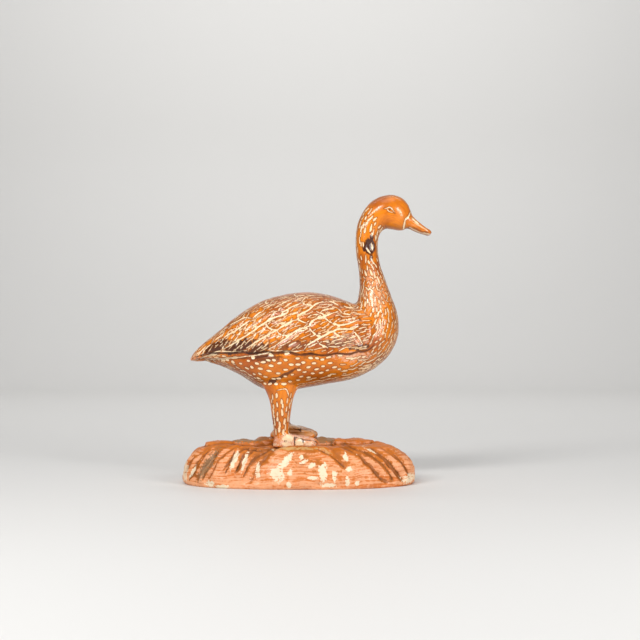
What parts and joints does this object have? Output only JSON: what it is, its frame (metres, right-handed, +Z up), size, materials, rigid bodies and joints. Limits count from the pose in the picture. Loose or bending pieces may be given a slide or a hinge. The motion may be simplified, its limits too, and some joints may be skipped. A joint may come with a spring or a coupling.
{
  "type": "wooden duck carving",
  "caption": "Carved and painted wooden duck with folded wings and a raised neck, standing with webbed feet on an oval base carved as rock.",
  "frame": {"origin": "middle of the base's flat underside", "axes": "+Z up, +X along the duck towards its bill, +Y away from the side that the picture shows"},
  "size_m": [0.3212, 0.165, 0.3703],
  "materials": {
    "duck": "satin lacquer",
    "rock_base": "worn satin lacquer"
  },
  "bodies": {
    "root": {"duck": "duck", "rock_base": "rock_base"}
  },
  "joints": []
}
